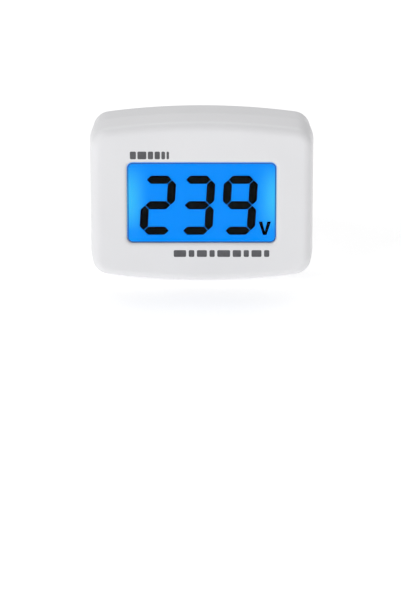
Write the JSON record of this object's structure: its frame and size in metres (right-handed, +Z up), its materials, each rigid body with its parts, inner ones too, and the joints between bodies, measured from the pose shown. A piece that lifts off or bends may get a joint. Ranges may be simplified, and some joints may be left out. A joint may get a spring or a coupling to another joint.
{
  "type": "plug-in mains voltmeter",
  "caption": "Plug-in mains voltage tester: a flat housing with a backlit digital display in front and an earthed round plug with contact pins at the back.",
  "frame": {"origin": "centre of the overall box in X and Y, at the height of the housing's lowest edge", "axes": "+Y from the display face to the pin tips, +Z up when the display is read, +X to the right seen from the display's side"},
  "size_m": [0.056, 0.0528, 0.042],
  "materials": {
    "housing_white": "satin moulded ABS, bright white",
    "plug_white": "satin moulded plastic, bright white",
    "sleeve_white": "smooth insulating sleeve",
    "clear_window": "clear polished acrylic",
    "cell_glass": "polished glass",
    "polariser": "grey film",
    "seal_grey": "epoxy bead",
    "segment_black": "dark display elements",
    "backlight_blue": "lit acrylic light guide",
    "film_blue": "diffusing film",
    "film_white": "reflecting film",
    "tray_ivory": "moulded tray",
    "led_clear": "lamp resin",
    "strip_rubber": "layered contact rubber",
    "board_green": "lacquered board",
    "chip_black": "moulded chip resin",
    "film_cap_yellow": "cast capacitor case",
    "can_blue": "shrink sleeve on a metal can",
    "resistor_tan": "cement coating",
    "trimmer_blue": "moulded trimmer case",
    "rotor_white": "nylon rotor",
    "retainer_tan": "laminated fibre board",
    "nickel": "nickel-plated brass, polished",
    "strip_steel": "nickel-plated spring strip, satin",
    "screw_steel": "zinc-plated screws",
    "wire_brown": "wire insulation",
    "wire_blue": "wire insulation"
  },
  "bodies": {
    "housing": {"front_shell": "housing_white", "rear_shell": "housing_white", "case_screws": "screw_steel", "window_lens": "clear_window", "front_polariser": "polariser", "front_glass": "cell_glass", "cell_seal": "seal_grey", "lcd_segments": "segment_black", "rear_glass": "cell_glass", "rear_polariser": "film_blue", "light_guide": "backlight_blue", "reflector_film": "film_white", "backlight_leds": "led_clear", "display_tray": "tray_ivory", "contact_strip": "strip_rubber", "main_board": "board_green", "board_screws": "screw_steel", "meter_chip": "chip_black", "dropper_capacitor": "film_cap_yellow", "smoothing_capacitor": "can_blue", "bridge_rectifier": "chip_black", "fuse_resistor": "resistor_tan", "chip_resistors": "chip_black", "trimmer_base": "trimmer_blue", "plug_body": "plug_white", "plug_retainer": "retainer_tan", "retainer_screws": "screw_steel", "live_pin": "nickel", "neutral_pin": "nickel", "live_sleeve": "sleeve_white", "neutral_sleeve": "sleeve_white", "earth_strip": "strip_steel", "live_wire": "wire_brown", "neutral_wire": "wire_blue"},
    "trimmer": {"trimmer_rotor": "rotor_white"}
  },
  "joints": [
    {"name": "trimmer_turn", "type": "hinge", "parent": "housing", "child": "trimmer", "pos_m": [0.0155, -0.0144, 0.019], "axis": [0, 1, 0], "range_deg": [-105, 105]}
  ]
}
